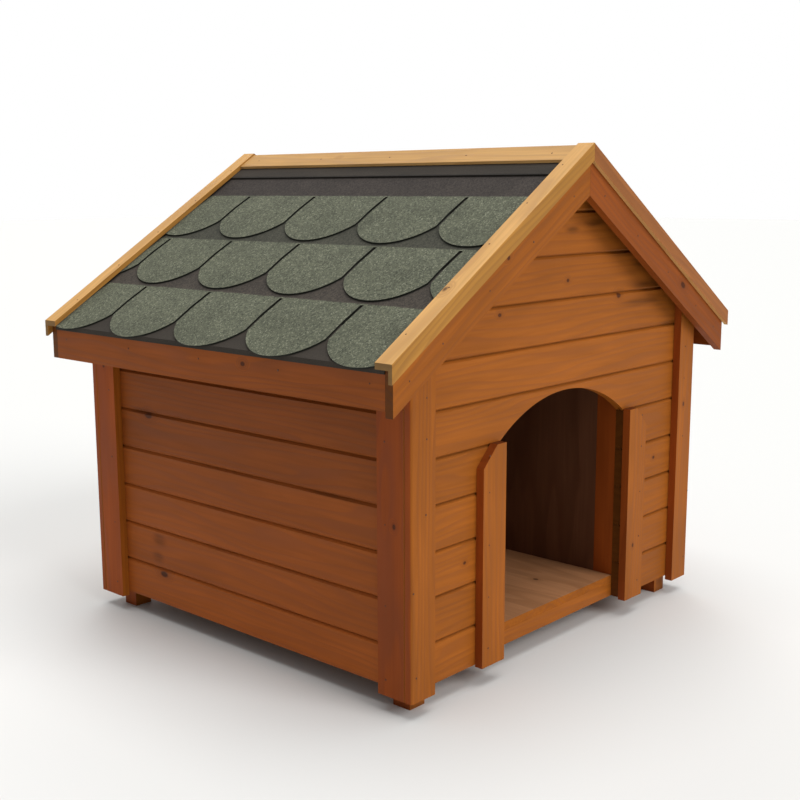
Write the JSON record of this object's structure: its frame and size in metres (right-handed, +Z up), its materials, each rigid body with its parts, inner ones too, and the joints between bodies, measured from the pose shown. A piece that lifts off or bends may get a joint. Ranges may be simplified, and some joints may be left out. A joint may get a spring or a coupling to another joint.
{
  "type": "dog house",
  "caption": "Gabled wooden dog house with an arched doorway, corner posts and trims, and a lift-off roof of rounded shingles with edge caps.",
  "frame": {"origin": "centre of the bounding box's footprint, on the ground under the feet", "axes": "-Y out of the gable with the doorway, +X to the right as seen from in front, +Z up; the ridge runs along Y"},
  "size_m": [1.0812, 0.9546, 0.9549],
  "materials": {
    "stained_pine": "translucent honey-brown wood stain, satin",
    "light_pine": "thin clear stain over pale pine, satin",
    "dark_pine": "honey-brown wood stain, matt",
    "raw_pine": "untreated planed pine",
    "slate_granules": "grey-green mineral granules on bitumen",
    "bitumen_felt": "matt bitumen felt"
  },
  "bodies": {
    "house": {"corner_post_front_left": "stained_pine", "corner_post_front_right": "stained_pine", "corner_post_rear_left": "stained_pine", "corner_post_rear_right": "stained_pine", "corner_trim_front_left": "stained_pine", "corner_trim_front_right": "stained_pine", "corner_trim_rear_left": "stained_pine", "corner_trim_rear_right": "stained_pine", "front_board_left_1": "stained_pine", "front_board_left_2": "stained_pine", "front_board_left_3": "stained_pine", "front_board_left_4": "stained_pine", "front_board_left_5": "stained_pine", "front_board_right_1": "stained_pine", "front_board_right_2": "stained_pine", "front_board_right_3": "stained_pine", "front_board_right_4": "stained_pine", "front_board_right_5": "stained_pine", "front_arch_board": "stained_pine", "gable_board_7": "stained_pine", "gable_board_8": "stained_pine", "gable_board_9": "stained_pine", "gable_peak_board": "stained_pine", "left_wall_board_1": "stained_pine", "left_wall_board_2": "stained_pine", "left_wall_board_3": "stained_pine", "left_wall_board_4": "stained_pine", "left_wall_board_5": "stained_pine", "left_wall_top_boards": "stained_pine", "right_wall": "stained_pine", "rear_wall": "stained_pine", "door_trim_left": "stained_pine", "door_trim_right": "stained_pine", "door_jamb_left": "stained_pine", "door_jamb_right": "stained_pine", "draught_screen": "dark_pine", "floor_panel": "raw_pine", "floor_rail_front": "stained_pine", "floor_rail_rear": "stained_pine"},
    "roof": {"roof_deck": "raw_pine", "roof_underlay": "bitumen_felt", "ridge_felt": "bitumen_felt", "shingle_strip_left_1": "slate_granules", "shingle_strip_left_2": "slate_granules", "shingle_strip_left_3": "slate_granules", "shingle_strip_right_1": "slate_granules", "shingle_strip_right_2": "slate_granules", "shingle_strip_right_3": "slate_granules", "fascia_left": "stained_pine", "fascia_right": "stained_pine", "ridge_board_left": "light_pine", "ridge_board_right": "light_pine", "bargeboard_front_left": "stained_pine", "bargeboard_front_right": "stained_pine", "bargeboard_rear_left": "stained_pine", "bargeboard_rear_right": "stained_pine", "edge_cap_front_left": "light_pine", "edge_cap_front_right": "light_pine", "edge_cap_rear_left": "light_pine", "edge_cap_rear_right": "light_pine"}
  },
  "joints": [
    {"name": "roof_lift", "type": "slide", "parent": "house", "child": "roof", "axis": [0, 0, 1], "range_m": [0, 0.45]}
  ]
}
